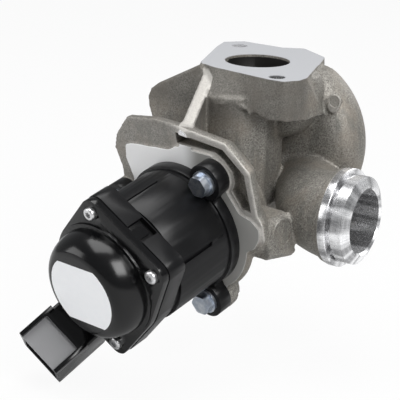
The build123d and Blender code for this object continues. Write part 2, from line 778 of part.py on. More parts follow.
def plug_body():
    """Outside of the connector: a leaning box with two rails along its back."""
    behind = 30.0
    deep = (Align.CENTER, Align.MAX, Align.MAX)
    box = Box(plug_width - 0.8, plug_height, plug_length + behind, align=deep)
    box = fillet(box.edges().filter_by(Axis.Z), 1.6)
    box = Pos(0, -plug_rail_h, 0) * box
    for side in (-1, 1):
        rail_x = side * (plug_width / 2 - plug_rail_w / 2)
        rail = Box(plug_rail_w, plug_rail_h + 6, plug_length + 3, align=deep)
        box += Pos(rail_x, 0, 0) * rail
    step = Box(plug_width, plug_rail_h + 0.6, 1.8, align=(Align.CENTER, Align.MAX, Align.MIN))
    box += Pos(0, 0, -plug_length) * step
    return box


def plug_socket():
    """Socket of the connector."""
    inner_w = plug_width - 0.8 - 2 * plug_wall
    inner_h = plug_height - 2 * plug_wall
    deep = (Align.CENTER, Align.MAX, Align.MAX)
    socket = Box(inner_w, inner_h, plug_depth, align=deep)
    socket = fillet(socket.edges().filter_by(Axis.Z), 1.2)
    return Pos(0, -plug_rail_h - plug_wall, 0) * socket


def terminals():
    """Five pins from the circuit board, through the cover's wall, into the connector's socket."""
    row_y = -plug_rail_h - plug_height / 2
    lean = math.radians(plug_tilt)
    tip = (plug_frame() * Pos(0, row_y, pin_reach - plug_depth)).position
    top = board_z + board_t
    level = top + pin_rise
    slant = (tip.Z - level) / math.cos(lean)
    turn_y = tip.Y + slant * math.sin(lean)
    upright = (Align.CENTER, Align.CENTER, Align.MAX)
    along = (Align.CENTER, Align.MIN, Align.CENTER)
    pins = []
    for number in range(pin_count):
        x = (number - (pin_count - 1) / 2) * pin_pitch
        blade = Pos(x, row_y, pin_reach - plug_depth) * Box(pin_w, pin_t, slant, align=upright)
        run = Box(pin_w, -pin_foot_y - turn_y, pin_t, align=along)
        foot = Box(pin_w, pin_t, pin_rise, align=upright)
        pin = plug_frame() * blade + Pos(x, turn_y, level) * run
        pins.append(pin + Pos(x, -pin_foot_y - pin_t / 2, level) * foot)
    return pins


def cover():
    """Moulded cover: flat flange, dome, connector and the snap tongue."""
    body = Pos(0, 0, cover_z) * extrude(waisted(0.3), amount=cover_t)
    body += rod(dome_ring_r, cover_top_z, cover_top_z + dome_ring_t)
    body += dome()
    below = Pos(0, 0, cover_z) * Box(200, 200, 60, align=(Align.CENTER, Align.CENTER, Align.MIN))
    body += (plug_frame() * plug_body()) & below
    body -= plug_frame() * plug_socket()
    inner = barrel_r - barrel_wall
    body -= rod(inner, cover_z - 1, cover_z + 1.4)
    body -= rod(board_r, cover_z, board_z + board_t)
    body -= dome(dome_wall)
    for x, y in screw_places():
        body -= rod(screw_r + 0.5, cover_z - 1, cover_top_z + 1, x, y)
        body -= rod(screw_head_r + 0.3, cover_top_z, cover_top_z + 12, x, y)
    tongue_y = screw_y + screw_corner_r - clip_depth + 0.3
    tongue = Box(tongue_w, tongue_t, 8.0, align=(Align.CENTER, Align.MIN, Align.MAX))
    body += Pos(clip_x, tongue_y, cover_z + 0.5) * tongue
    return body


def cover_screws():
    """Pan-head screws that hold the cover."""
    screws = []
    for x, y in screw_places():
        head = rod(screw_head_r, cover_top_z, cover_top_z + screw_head_t)
        head = fillet(head.edges().group_by(Axis.Z)[-1], 1.1)
        socket = Circle(1.25)
        for lobe in range(6):
            socket += Rot(0, 0, lobe * 60) * Pos(1.3, 0) * Circle(0.42)
        head -= Pos(0, 0, cover_top_z + 1.1) * extrude(socket, amount=3)
        head += rod(screw_r, cover_z - screw_length + 1, cover_top_z)
        screws.append(Pos(x, y, 0) * head)
    return screws


def cover_seal():
    """Rubber ring between the cover and the housing."""
    inner = barrel_r - barrel_wall
    return tube(inner + seal_w, inner, cover_z - seal_t, cover_z)


def label():
    """Paper label on the flat end of the dome: a disc with two straight sides."""
    face = Circle(label_r) & Rectangle(2 * label_r, 2 * label_chord)
    return Pos(0, 0, label_z - label_t) * extrude(face, amount=label_t)


def circuit_board():
    """Round board under the dome that holds the position sensor."""
    return rod(board_r, board_z, board_z + board_t)


def position_sensor():
    """Magnetic sensor on the board's underside, over the rotor's magnet."""
    chip = Box(6, 5, chip_t, align=(Align.CENTER, Align.CENTER, Align.MAX))
    return Pos(0, 0, board_z) * chip


# --- the whole part ------------------------------------------------------------------------------
def build():
    """Write every node."""
    os.makedirs("parts", exist_ok=True)
    save(casting(), "valve_housing")
    inner_race, balls, outer_race, _ = bearing()
    core, coils = stator()
    pins = terminals()
    body = cover()
    for pin in pins:
        body -= pin
    straight = {
        "valve_seat": seat_ring(), "stem_bush": stem_bush(), "stem_seal": stem_seal(),
        "poppet_valve": valve(), "cross_pin": cross_pin(), "cam_sleeve": cam_sleeve(),
        "rotor_hub": rotor_hub(), "rotor_magnets": rotor_magnets(),
        "sensor_magnet": sensor_magnet(), "bearing_inner_race": inner_race,
        "bearing_balls": balls, "bearing_outer_race": outer_race,
        "motor_housing": motor_housing(), "compression_sleeves": limiters(),
        "motor_bolts": motor_bolts(), "motor_o_ring": motor_oring(), "fixed_guide": fixed_guide(),
        "bearing_carrier": bearing_carrier(), "stator_core": core, "stator_coils": coils,
        "return_spring": return_spring(), "bearing_bridge": bridge(),
        "journal_bush": journal_bush(), "cover_label": label(),
    }
    turned = {
        "motor_cover": body, "connector_pins": pins, "cover_screws": cover_screws(),
        "cover_seal": cover_seal(), "circuit_board": circuit_board(),
        "position_sensor": position_sensor(),
    }
    for node, shape in straight.items():
        shapes = shape if isinstance(shape, list) else [shape]
        save([on_motor(s) for s in shapes], node)
    for node, shape in turned.items():
        shapes = shape if isinstance(shape, list) else [shape]
        save([on_motor(cover_turn * s) for s in shapes], node)


build()
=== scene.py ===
"""Looks of an electric exhaust gas recirculation valve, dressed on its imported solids, in metres."""
import json
import math

import bmesh
import bpy
import numpy as np
from mathutils import Matrix, Vector

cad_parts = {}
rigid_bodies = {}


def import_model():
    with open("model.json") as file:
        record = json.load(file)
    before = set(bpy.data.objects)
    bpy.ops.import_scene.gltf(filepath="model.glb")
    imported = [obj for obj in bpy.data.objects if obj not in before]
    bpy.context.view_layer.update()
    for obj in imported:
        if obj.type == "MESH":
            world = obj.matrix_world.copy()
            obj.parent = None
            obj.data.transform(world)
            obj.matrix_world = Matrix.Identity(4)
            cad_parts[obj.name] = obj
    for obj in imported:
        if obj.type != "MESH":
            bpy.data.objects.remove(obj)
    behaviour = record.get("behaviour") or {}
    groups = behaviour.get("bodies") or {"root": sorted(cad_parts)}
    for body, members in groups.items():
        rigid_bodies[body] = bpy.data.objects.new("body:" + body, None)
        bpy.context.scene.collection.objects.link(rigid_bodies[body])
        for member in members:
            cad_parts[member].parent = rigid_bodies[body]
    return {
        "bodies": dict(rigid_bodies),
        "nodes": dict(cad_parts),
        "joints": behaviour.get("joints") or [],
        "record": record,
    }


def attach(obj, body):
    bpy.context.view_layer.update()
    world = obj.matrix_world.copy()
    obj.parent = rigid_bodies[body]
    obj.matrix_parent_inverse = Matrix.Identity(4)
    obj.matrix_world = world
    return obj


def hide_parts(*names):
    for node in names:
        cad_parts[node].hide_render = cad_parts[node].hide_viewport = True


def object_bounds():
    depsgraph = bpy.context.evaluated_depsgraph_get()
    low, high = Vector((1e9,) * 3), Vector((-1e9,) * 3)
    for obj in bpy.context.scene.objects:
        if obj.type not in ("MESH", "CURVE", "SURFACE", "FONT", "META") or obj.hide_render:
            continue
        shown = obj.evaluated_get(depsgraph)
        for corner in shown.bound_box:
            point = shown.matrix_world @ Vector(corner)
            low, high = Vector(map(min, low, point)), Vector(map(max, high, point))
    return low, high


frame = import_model()
cad_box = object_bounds()
nodes = frame["nodes"]
scene = bpy.context.scene

# --- camera -----------------------------------------------------------------------------------
# A long lens to the right of the motor and a little above it, with a slight roll.
turn, lift, roll = math.radians(32.8), math.radians(17.3), math.radians(1.6)
back = Vector((math.sin(turn) * math.cos(lift), -math.cos(turn) * math.cos(lift), math.sin(lift)))
across = Vector((math.cos(turn), math.sin(turn), 0))
upward = back.cross(across)
lens = bpy.data.cameras.new("camera")
lens.lens, lens.sensor_width = 126.0, 36.0
lens.clip_start, lens.clip_end = 0.05, 20.0
camera = bpy.data.objects.new("camera", lens)
side = across * math.cos(roll) + upward * math.sin(roll)
top = upward * math.cos(roll) - across * math.sin(roll)
stand = (0.3649, -0.6176, 0.1465)
camera.matrix_world = Matrix.Translation(stand) @ Matrix((side, top, back)).transposed().to_4x4()
scene.collection.objects.link(camera)
scene.camera = camera
scene.view_settings.view_transform = "Standard"


# --- studio -----------------------------------------------------------------------------------
# A pale table under the valve, a pale room round it, and soft boxes above and to the sides.
class Value:
    """A node's socket in an expression: arithmetic on it adds Math nodes to its finish."""

    def __init__(self, finish, socket):
        self.finish, self.socket = finish, socket

    def math(self, operation, *values):
        return self.finish.node("ShaderNodeMath", {"operation": operation}, dict(enumerate(values)))

    def __add__(self, other):
        return self.math("ADD", self, other)

    def __sub__(self, other):
        return self.math("SUBTRACT", self, other)

    def __rsub__(self, other):
        return self.math("SUBTRACT", other, self)

    def __mul__(self, other):
        return self.math("MULTIPLY", self, other)

    def __truediv__(self, other):
        return self.math("DIVIDE", self, other)

    __radd__ = __add__
    __rmul__ = __mul__

    def larger(self, other):
        """The larger of the two values."""
        return self.math("MAXIMUM", self, other)

    def step(self, low, high):
        """Smooth step: 0 below low, 1 above high, and the other way round where high is below low."""
        return self.finish.node(
            "ShaderNodeMapRange", {"interpolation_type": "SMOOTHSTEP"}, {0: self, 1: low, 2: high}
        )


class Finish:
    """A procedural material with one Principled shader; varying inputs are linked by name."""

    def __init__(self, name, **fixed):
        self.material = bpy.data.materials.new(name)
        self.material.use_nodes = True
        self.tree = self.material.node_tree
        self.shader = self.tree.nodes["Principled BSDF"]
        self.place = None
        for key, value in fixed.items():
            self.feed(self.shader.inputs[key.replace("_", " ").title().replace("Ior", "IOR")], value)

    def feed(self, socket, value):
        if isinstance(value, Value):
            self.tree.links.new(value.socket, socket)
        elif isinstance(value, (tuple, list, Vector)) and socket.type == "RGBA":
            socket.default_value = (*value, 1.0)
        else:
            socket.default_value = value

    def node(self, kind, settings=None, sockets=None, out=0):
        """Any node: its settings first, then its sockets' values or links."""
        made = self.tree.nodes.new(kind)
        for key, value in (settings or {}).items():
            setattr(made, key, value)
        for key, value in (sockets or {}).items():
            self.feed(made.inputs[key], value)
        return Value(self, made.outputs[out])

    def set(self, **inputs):
        for key, value in inputs.items():
            self.feed(self.shader.inputs[key.replace("_", " ").title()], value)

    def coords(self):
        """Object coordinates, in metres."""
        if self.place is None:
            self.place = self.node("ShaderNodeTexCoord", out="Object")
        return self.place

    def noise(self, size, detail=2.0, roughness=0.5, stretch=None):
        """Noise with grains of about that size in metres; stretch scales its axes."""
        place = self.coords()
        if stretch is not None:
            place = self.node("ShaderNodeVectorMath", {"operation": "MULTIPLY"}, {0: place, 1: stretch})
        return self.node("ShaderNodeTexNoise", None, {
            "Vector": place, "Scale": 1.0 / size, "Detail": detail, "Roughness": roughness,
        })

    def blend(self, first, second, share):
        """Colour between two colours."""
        return self.node(
            "ShaderNodeMix", {"data_type": "RGBA"}, {"Factor": share, 6: first, 7: second}, out=2
        )

    def along(self, origin, axis):
        """Distance from a point along an axis."""
        moved = self.node("ShaderNodeVectorMath", {"operation": "SUBTRACT"},
                          {0: self.coords(), 1: origin})
        return self.node("ShaderNodeVectorMath", {"operation": "DOT_PRODUCT"},
                         {0: moved, 1: axis}, out="Value")

    def away(self, origin, axis):
        """Distance from a line through a point."""
        moved = self.node("ShaderNodeVectorMath", {"operation": "SUBTRACT"},
                          {0: self.coords(), 1: origin})
        crossed = self.node("ShaderNodeVectorMath", {"operation": "CROSS_PRODUCT"},
                            {0: moved, 1: axis})
        return self.node("ShaderNodeVectorMath", {"operation": "LENGTH"}, {0: crossed}, out="Value")

    def bump(self, height, depth, strength):
        """Bump of that depth in metres."""
        return self.node("ShaderNodeBump", None, {"Height": height, "Distance": depth, "Strength": strength})


table = Finish("table_paint", base_color=(0.60, 0.60, 0.60), roughness=0.6)
seen = table.node("ShaderNodeLightPath", out="Is Camera Ray")
glow = table.node("ShaderNodeEmission", None, {"Color": (1, 1, 1), "Strength": 1.0})
lit = Value(table, table.shader.outputs[0])
glow_share = 0.93                 # for the camera only: the valve sees just the paint
mixed = table.node("ShaderNodeMixShader", None, {0: seen * glow_share, 1: lit, 2: glow})
table.feed(table.tree.nodes["Material Output"].inputs[0], mixed)
reach, gap = 4.0, 0.0006
table_z = cad_box[0][2] - gap
corners = [(x, y, table_z) for x, y in ((-reach, -reach), (reach, -reach), (reach, reach), (-reach, reach))]
board = bpy.data.meshes.new("table")
board.from_pydata(corners, [], [(0, 1, 2, 3)])
board.materials.append(table.material)
floor = bpy.data.objects.new("table", board)
scene.collection.objects.link(floor)

room_light, camera_extra = 0.30, 0.70
room = bpy.data.worlds.new("room")
scene.world = room
room.use_nodes = True
tree = room.node_tree
ground = tree.nodes["Background"]
ground.inputs["Color"].default_value = (0.96, 0.98, 1.0, 1)
path = tree.nodes.new("ShaderNodeLightPath")
direct = tree.nodes.new("ShaderNodeMath")
direct.operation = "MULTIPLY_ADD"
tree.links.new(path.outputs["Is Camera Ray"], direct.inputs[0])
direct.inputs[1].default_value = camera_extra
direct.inputs[2].default_value = room_light
tree.links.new(direct.outputs[0], ground.inputs["Strength"])

middle = Vector((0.0, -0.06, -0.07))
for name, place, size, power in (
    ("box_right", (0.75, -0.35, 0.55), 0.50, 9.0),
    ("box_top", (-0.10, -0.15, 0.95), 0.75, 10.0),
    ("box_left", (-0.85, -0.75, 0.25), 0.60, 4.0),
    ("box_back", (0.25, 0.95, 0.45), 0.60, 4.0),
):
    lamp = bpy.data.lights.new(name, "AREA")
    lamp.size, lamp.energy = size, power
    holder = bpy.data.objects.new(name, lamp)
    aim = (Vector(place) - middle).to_track_quat("Z", "Y")
    holder.matrix_world = Matrix.Translation(place) @ aim.to_matrix().to_4x4()
    scene.collection.objects.link(holder)


# --- valve housing ----------------------------------------------------------------------------
# Aluminium casting: the drafted shapes of its mould run into one rough skin, and its faces, bores,
# land and spigot are machined bright afterwards.  Outlines are in millimetres of their frame.
MM = 0.001
right, rear, up = Vector((1, 0, 0)), Vector((0, 1, 0)), Vector((0, 0, 1))
drive = next(joint for joint in frame["joints"] if joint["name"] == "rotor_turn")
motor_axis = Vector(drive["axis"])
level = Vector(Vector((-motor_axis.y, motor_axis.x, 0)).normalized().to_tuple(6))
steep = motor_axis.cross(level)
seat = Vector((-0.0071375, -0.0509371, -0.0765998))      # middle of the motor's seat
outlet = Vector((0.0, -0.0185, -0.0678))                 # where the axes of column and spigot cross
origin = Vector((0, 0, 0))
upright_frame = (origin, right, rear, up)
front_frame = (origin, right, up, -rear)
motor_frame = (seat, level, steep, motor_axis)
outlet_frame = (outlet, rear, up, right)


def ring_of_places(radius, *angles):
    """Places at angles in degrees on a circle."""
    return [(radius * math.cos(a), radius * math.sin(a)) for a in map(math.radians, angles)]


screw_circle, lug_circle = 41.0, 40.0
screws = ring_of_places(screw_circle, 53.0, -72.5, 170.5)
lugs = ring_of_places(lug_circle, -45.0, 135.0)
column = (0.0, -18.5)             # middle of the upright gas column
rim_level, land_top = -1.0, 1.2   # the plate's as-cast rim, and its land before it is milled to 0
long_mark, round_mark = (46.9, -14.3), (30.1, -18.2)
pad_frame = (seat + (steep * -0.9 - motor_axis * 14.8) * MM, steep, motor_axis, level)
duct_path = [(2.7, 11, -60), (15, 11, -60.6), (26, 9.5, -61.3), (34, 3, -62.6), (41, -8, -65.3),
             (48, -15.5, -67.2)]
web_top = Vector((-13.9, -21.9, 0))       # the gusset's front edge runs from here to web_low
web_low = (seat + (level * 7.5 + steep * 52.5 - motor_axis) * MM) * 1000      # in millimetres
web_ahead = Vector((web_low.x - web_top.x, web_low.y - web_top.y, 0))
web_run = web_ahead.length
web_ahead.normalize()
web_frame = (web_top * MM, web_ahead, up, web_ahead.cross(up))


def placed(points, frame):
    """Points in millimetres of a frame, as points of the scene in metres."""
    start, *axes = (np.array(v) for v in frame)
    return start + points @ np.array(axes) * MM


def skin(rings, frame):
    """Closed solid through rings of as many points each, low to high, with flat ends."""
    rings = np.asarray(rings, float)
    count, size = rings.shape[:2]
    points = placed(rings.reshape(-1, 3), frame)
    i = np.arange(count - 1)[:, None] * size
    j, k = np.arange(size)[None, :], (np.arange(size)[None, :] + 1) % size
    walls = np.stack([i + j, i + k, i + size + k, i + size + j], -1).reshape(-1, 4).tolist()
    return points, walls + [list(range(size))[::-1], list(range((count - 1) * size, count * size))]


def prism(outline, levels, frame, scales=None):
    """Straight or drafted prism: an outline at each level, scaled about its middle."""
    outline = np.asarray(outline, float)
    middle = (outline.max(0) + outline.min(0)) / 2
    scales = scales or [1.0] * len(levels)
    return skin([np.column_stack([middle + (outline - middle) * s, np.full(len(outline), z)])
                 for z, s in zip(levels, scales)], frame)


def lathe(profile, frame, x=0.0, y=0.0, segments=72):
    """Turned solid: radius and level pairs, low to high, about a frame's third axis."""
    turns = np.linspace(0, 2 * np.pi, segments, endpoint=False)
    return skin([np.column_stack([x + r * np.cos(turns), y + r * np.sin(turns), np.full(segments, z)])
                 for r, z in profile], frame)


def rounded(radius, low, high, rounding, steps=6):
    """Profile of a drum with both rims rounded by a quarter circle."""
    bend = np.linspace(0, np.pi / 2, steps)
    first = [(radius - rounding + rounding * np.sin(b), low + rounding - rounding * np.cos(b))
             for b in bend]
    return first + [(r, low + high - z) for r, z in first[::-1]]


def drum(radius, low, high, rounding, x, z):
    """Rounded drum that lies front to back, flattened under the flange."""
    ceiling = -2.0
    lying_frame = (Vector((x, 0, z)) * MM, up, right, rear)
    points, faces = lathe(rounded(radius, low, high, rounding), lying_frame)
    points[:, 2] = np.minimum(points[:, 2], ceiling * MM)
    return points, faces


def pipe(points, radii, segments=48, steps=8):
    """Pipe along a smooth line (Catmull-Rom) through points, its radius changing evenly between them."""
    points, radii = np.asarray(points, float), np.asarray(radii, float)
    padded = np.vstack([2 * points[0] - points[1], points, 2 * points[-1] - points[-2]])
    line, sizes = [], []
    for n in range(len(points) - 1):
        a, b, c, d = padded[n:n + 4]
        for t in np.linspace(0, 1, steps, endpoint=n == len(points) - 2):
            line.append(0.5 * (2 * b + (c - a) * t + (2 * a - 5 * b + 4 * c - d) * t * t
                               + (3 * b - a - 3 * c + d) * t ** 3))
            sizes.append(radii[n] + (radii[n + 1] - radii[n]) * t)
    line = np.array(line)
    ahead = np.gradient(line, axis=0)
    ahead /= np.linalg.norm(ahead, axis=1)[:, None]
    out = np.cross(ahead, (0, 0, 1.0))
    out /= np.linalg.norm(out, axis=1)[:, None]
    other = np.cross(ahead, out)
    turns = np.linspace(0, 2 * np.pi, segments, endpoint=False)[None, :, None]
    rings = line[:, None] + np.array(sizes)[:, None, None] * (
        out[:, None] * np.cos(turns) + other[:, None] * np.sin(turns))
    return skin(rings, upright_frame)


def inlet_shapes():
    """Flange, drafted skirt down to the mould's parting line, column and rear lug."""
    flange = [(-21, -22), (-11, -27), (27, -35), (35.5, -35), (40.5, -27.5), (40.5, -20),
              (23, 31), (3, 45), (-8, 39.5), (-33, 41), (-41, 32.5), (-37, 19)]
    rear_slab = [(30, 12), (23, 31), (3, 45), (-8, 39.5), (-33, 41), (-41, 32.5), (-37, 19), (0, 8)]
    skirt_top = [(-37, 19), (-21, -22), (-11, -27), (8, -31.1), (27, -35), (35.5, -35),
                 (40.5, -27.5), (40.5, -20), (34, -3), (23, 31)]
    parting = [(-20, 12, -12), (-21.5, -20, -12), (-17, -31.5, -12.5), (0, -39.6, -14),
               (15, -34.5, -17.5), (27, -36.5, -20.5), (36, -31, -21.5), (41, -20, -22),
               (42, -3, -22), (30, 20, -22)]
    corner = [(0, -20), (13, -35), (21.2, -24.5), (21.2, -7), (10, -2), (0, -8)]
    return [
        prism(flange, (1.5, -1.0, -3.0), upright_frame, (1, 1, 0.985)),
        prism(rear_slab, (-9.0, 1.0), upright_frame),
        skin([parting, [(x, y, -0.5) for x, y in skirt_top]], upright_frame),
        lathe([(20.4, -72), (21.3, -12)], upright_frame, *column),
        prism(corner, (-70, -17), upright_frame),
        lathe(rounded(radius=10.0, low=-30, high=1, rounding=4), upright_frame, *lugs[1]),
    ]


def gas_shapes():
    """Volute, the bowl in front of it, the outlet duct and the chamber round the valve."""
    to_spigot = [(56, -18.2, -67.8), (66, -18.5, -67.8)]
    duct_radii = (18, 18, 18, 18.4, 19.3, 20.6, 22.0, 23.9)
    return [
        drum(radius=46.0, low=-1.0, high=27.0, rounding=12.5, x=10.9, z=-41.0),
        drum(radius=24.5, low=-16.0, high=6.0, rounding=9.0, x=15.5, z=-12.5),
        pipe(duct_path + to_spigot, duct_radii),
        lathe(rounded(radius=20.0, low=-79, high=-20, rounding=4), motor_frame),
    ]


def plate_shapes():
    """Plate behind the motor with its land, and the side block whose back half drops lower."""
    plate = [(-44, 4), (-43.5, 22), (-46, 33), (-43, 41), (-33, 52.5), (-13, 55.5), (0, 55),
             (33, 51.5), (46.5, 38), (47.5, 15), (50, 10), (50, 1.5), (45, -5.5), (36, -11), (-30, -20)]
    land = [(-34, 17), (-37.4, 29), (-36, 36.5), (-31, 38), (-5, 40), (0, 43), (24.5, 43), (31.5, 35),
            (30, 25), (36.5, 14), (44, 11.7), (48, 8), (47, 2), (43, -4), (34, -9), (0, -15)]
    hub_r, plate_r, land_r = 31, 39.7, 38.2
    plate_back, draft_foot = -12.0, -4.5
    block_back = [(24, -19.5), (46.5, -19.5), (49.6, -16), (49.6, 3.5), (46.5, 6.5), (24, 6.5)]
    block_front = [(24, -11.5), (47, -11.5), (49.8, -8.5), (49.8, 5), (46.5, 8.5), (24, 8.5)]
    return [
        lathe([(hub_r, -28), (hub_r, -5)], motor_frame),
        prism(plate, (plate_back, draft_foot, rim_level), motor_frame, (0.86, 1, 1)),
        lathe([(hub_r, plate_back), (plate_r, draft_foot), (plate_r, rim_level)], motor_frame),
        prism(land, (-6.0, land_top), motor_frame),
        lathe([(land_r, -6), (land_r, land_top)], motor_frame),
        skin([[(x, y, -23.3) for x, y in block_back],
              [(x, y, -3.5) for x, y in block_front]], motor_frame),
    ]


def web_shapes():
    """Gusset from the flange to the plate's rim, and the leaf at its left."""
    gusset = [(-6, -1), (0, -1), (web_run + 1, web_low.z), (web_run + 1, web_low.z - 30),
              (14, -62), (-6, -62)]
    leaf = [(-18, 0), (-44, -13.5), (-48.5, -17), (-50.3, -21), (-50, -26), (-47, -34),
            (-30, -48), (-8, -50)]
    half_gusset = 3.15
    return [
        prism(gusset, (-half_gusset, half_gusset), web_frame),
        prism(leaf, (22.0, 27.0), front_frame),
    ]


def mould_marks():
    """Marks of the ejector pins, and the flash left along the mould's parting line."""
    flash = [(-21.2, -19, -12), (-17.4, -31.0, -12.3), (-9, -36.4, -13), (-6, -38.2, -15.4),
             (4, -39.2, -15.2), (8, -37.6, -14.0), (15, -34.9, -17.2), (18, -35.4, -19.5)]
    flash_r = 0.8
    return [
        lathe([(4.2, 0), (3.9, 1.9)], front_frame, *long_mark, 40),
        lathe([(3.6, 0), (3.3, 1.9)], front_frame, 46.2, -17.3, 40),
        lathe([(3.4, 12), (3.1, 17.9)], front_frame, *round_mark, 40),
        pipe(flash, (flash_r,) * len(flash), 10),
    ]


def boss_shapes():
    """Bosses of the motor's screws, below the rim and up to the land."""
    under = [lathe([(7.0, -10.5), (7.4, -7.5), (9.2, -6.5), (9.6, rim_level)], motor_frame, *p)
             for p in screws]
    return under + [lathe([(8.6, -6), (8.6, land_top)], motor_frame, *p) for p in screws]


def machined_rings():
    """Turned rings of the spigot, narrow end last, and the round pad on the side block."""
    spigot = [(24.0, 60), (25.0, 63.4), (25.0, 66.6), (24.7, 66.9), (21.0, 66.9), (21.0, 68.2),
              (22.1, 68.2), (22.3, 68.4), (22.3, 74.3), (17.4, 76.8)]
    return [lathe(spigot, outlet_frame, segments=128),
            lathe([(8.4, 40), (7.9, 49.9), (7.5, 50.3)], pad_frame)]


def level_cuts():
    """What is milled off above the flange's face and above the land."""
    square = [(-70, -70), (70, -70), (70, 70), (-70, 70)]
    return [prism(square, (0, 8), frame) for frame in (upright_frame, motor_frame)]


def bores():
    """Gas ways, the valve's and motor's bores, the recess beside the land, and all holes."""
    turns = np.linspace(0, 2 * np.pi, 96, endpoint=False)
    gas_levels = ((14, -21, -67), (14, -21, -34), (17, 0, -9), (17, 0, 4))
    valve_bores = [(15, -74), (15, -48), (13.5, -48), (13.5, -24), (5.5, -24), (5.5, -12), (24, -12),
                   (24, 4)]
    recess = [(1, 51.2), (1, 45.4), (26, 45.2), (31, 42), (35.3, 36.5), (35.6, 30), (33, 25.5),
              (37.8, 16.8), (44, 16.2), (43, 36.6), (31.4, 48)]
    duct = duct_path + [(52, -18.2, -67.8)]
    duct_r, screw_r, lug_hole_r = 13, 3.05, 4.2
    cuts = [
        skin([np.column_stack([r * np.cos(turns), y + r * np.sin(turns), np.full(len(turns), z)])
              for r, y, z in gas_levels], upright_frame),
        lathe(valve_bores, motor_frame, segments=96),
        pipe(duct, (duct_r,) * len(duct)),
        lathe([(16.3, 47), (16.3, 75.8), (17.3, 76.9), (17.3, 79)], outlet_frame, segments=128),
        prism(recess, (-6.5, 4), motor_frame),
    ]
    cuts += [lathe([(screw_r, -16), (screw_r, 4)], motor_frame, *p, segments=32) for p in screws]
    cuts += [lathe([(lug_hole_r, -27), (lug_hole_r, 4)], upright_frame, *p, segments=48) for p in lugs]
    return cuts + [
        lathe([(6.5, 49.85), (6.9, 51)], pad_frame),
        lathe([(2.9, 1.55), (3.2, 2.5)], front_frame, *long_mark, 40),
        lathe([(2.3, 17.55), (2.6, 18.5)], front_frame, *round_mark, 40),
    ]


def solid(name, parts):
    """Object made of closed solids that may overlap."""
    points, faces, start = [], [], 0
    for part_points, part_faces in parts:
        points.append(part_points)
        faces += [[start + v for v in face] for face in part_faces]
        start += len(part_points)
    mesh = bpy.data.meshes.new(name)
    mesh.from_pydata(np.vstack(points).tolist(), [], faces)
    work = bmesh.new()
    work.from_mesh(mesh)
    bmesh.ops.triangulate(work, faces=work.faces)
    bmesh.ops.recalc_face_normals(work, faces=work.faces)
    work.to_mesh(mesh)
    work.free()
    piece = bpy.data.objects.new(name, mesh)
    scene.collection.objects.link(piece)
    return piece


def settle(piece):
    """Turn a piece's modifiers into its mesh."""
    graph = bpy.context.evaluated_depsgraph_get()
    mesh = bpy.data.meshes.new_from_object(piece.evaluated_get(graph))
    piece.modifiers.clear()
    piece.data = mesh


def combine(piece, parts, operation):
    """Add crisp solids to a piece, or cut them out of it, one after another."""
    for part in parts:
        tool = solid("tool", [part])
        work = piece.modifiers.new("work", "BOOLEAN")
        work.operation, work.solver, work.object = operation, "MANIFOLD", tool
        settle(piece)
        bpy.data.objects.remove(tool)


skin_voxel, ease_factor, ease_turns = 0.00085, 0.5, 3
casting = solid("valve_casting", inlet_shapes() + gas_shapes() + plate_shapes() + web_shapes()
                + mould_marks() + boss_shapes())
shrink = casting.modifiers.new("skin", "REMESH")
shrink.mode, shrink.voxel_size, shrink.use_smooth_shade = "VOXEL", skin_voxel, True
ease = casting.modifiers.new("ease", "SMOOTH")
ease.factor, ease.iterations = ease_factor, ease_turns
settle(casting)
combine(casting, machined_rings(), "UNION")
combine(casting, level_cuts() + bores(), "DIFFERENCE")


def coat(piece, finish):
    """Give every face of a piece one finish and smooth shading."""
    faces = piece.data.polygons
    piece.data.materials.clear()
    piece.data.materials.append(finish.material)
    faces.foreach_set("material_index", np.zeros(len(faces), np.int32))
    faces.foreach_set("use_smooth", np.ones(len(faces), bool))


def dress(node, finish, bevel_width=None):
    """Give a CAD node its finish, smooth across its curves and crisp at its edges."""
    edge_angle = math.radians(35)
    body = nodes[node]
    coat(body, finish)
    weld = body.modifiers.new("weld", "WELD")
    weld.merge_threshold = 2e-6
    if bevel_width:
        bevel = body.modifiers.new("edge", "BEVEL")
        bevel.width, bevel.segments, bevel.limit_method = bevel_width, 2, "ANGLE"
        bevel.angle_limit = edge_angle
        bevel.use_clamp_overlap = True
        bevel.harden_normals = True
    split = body.modifiers.new("crisp", "EDGE_SPLIT")
    split.split_angle = edge_angle


cast = Finish("cast_aluminium")
grain = cast.noise(0.0008, 4.0, 0.7)
pits = cast.noise(0.0016, 3.0, 0.6)
patch = cast.noise(0.016, 3.0, 0.55)
drawn = cast.noise(0.004, 3.0, 0.6, stretch=(1.0, 1.0, 0.18))
to_right, to_rear, height = (
    cast.node("ShaderNodeSeparateXYZ", None, {0: cast.coords()}, out=axis) for axis in range(3))
from_outlet = cast.away(outlet, right)
motor_level = cast.along(seat, motor_axis)
motor_side = cast.along(seat, level)
land_level = motor_level.step(-0.0004, -0.0002) * motor_level.step(0.0006, 0.0004)


def machined_share():
    """1 on the flange's face, the land, the spigot, its bore and the lugs' holes."""
    spigot = to_right.step(0.0626, 0.0630)
    spigot_bore = from_outlet.step(0.0166, 0.0164) * to_right.step(0.0465, 0.0470)
    masks = [land_level, spigot, spigot_bore]
    for x, y in lugs:
        hole = cast.away(Vector((x, y, 0)) * MM, up).step(0.0046, 0.0044)
        masks.append(hole * height.step(-0.0290, -0.0280))
    share = height.step(-0.0003, -0.0001)
    for mask in masks:
        share = share.larger(mask)
    return share


def web_edge_wear_and_highlight():
    """1 on the gusset's front edge, coloured lighter for wear and a painted highlight."""
    edge_up = (web_low - web_top).normalized().cross(web_frame[3])
    across_web = cast.along(web_top * MM, web_frame[3])
    above_edge = cast.along(web_top * MM, edge_up)
    share = across_web.step(-0.0038, -0.0034) * across_web.step(0.0038, 0.0034)
    share = share * above_edge.step(-0.0014, -0.0008) * above_edge.step(0.0014, 0.0010)
    return share * height.step(-0.001, -0.003) * motor_level.step(-0.052, -0.048)


